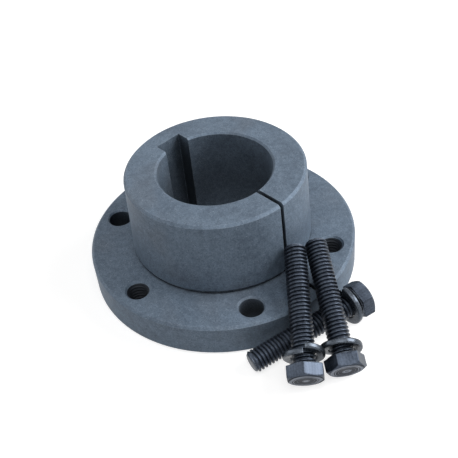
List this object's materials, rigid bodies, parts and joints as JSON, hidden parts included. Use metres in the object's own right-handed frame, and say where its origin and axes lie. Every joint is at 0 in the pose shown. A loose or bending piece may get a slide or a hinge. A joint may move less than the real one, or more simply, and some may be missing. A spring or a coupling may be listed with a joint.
{
  "type": "quick disconnect bushing",
  "caption": "Split taper bushing with a flange, keyed bore and bolt holes, its hex cap screws and spring lock washers lying loose against the flange.",
  "frame": {"origin": "on the bore's axis at the flange's back face, which is the centre of the bolt circle", "axes": "+Z along the bore towards the hub's nose, +X through the slit"},
  "size_m": [0.151, 0.1174, 0.0508],
  "materials": {
    "bushing": "matte blue-grey phosphate",
    "screws": "black oxide",
    "washers": "black oxide"
  },
  "bodies": {
    "root": {"flanged_bushing": "bushing", "cap_screw_1": "screws", "cap_screw_2": "screws", "cap_screw_3": "screws", "lock_washer_1": "washers", "lock_washer_2": "washers", "lock_washer_3": "washers"}
  },
  "joints": []
}
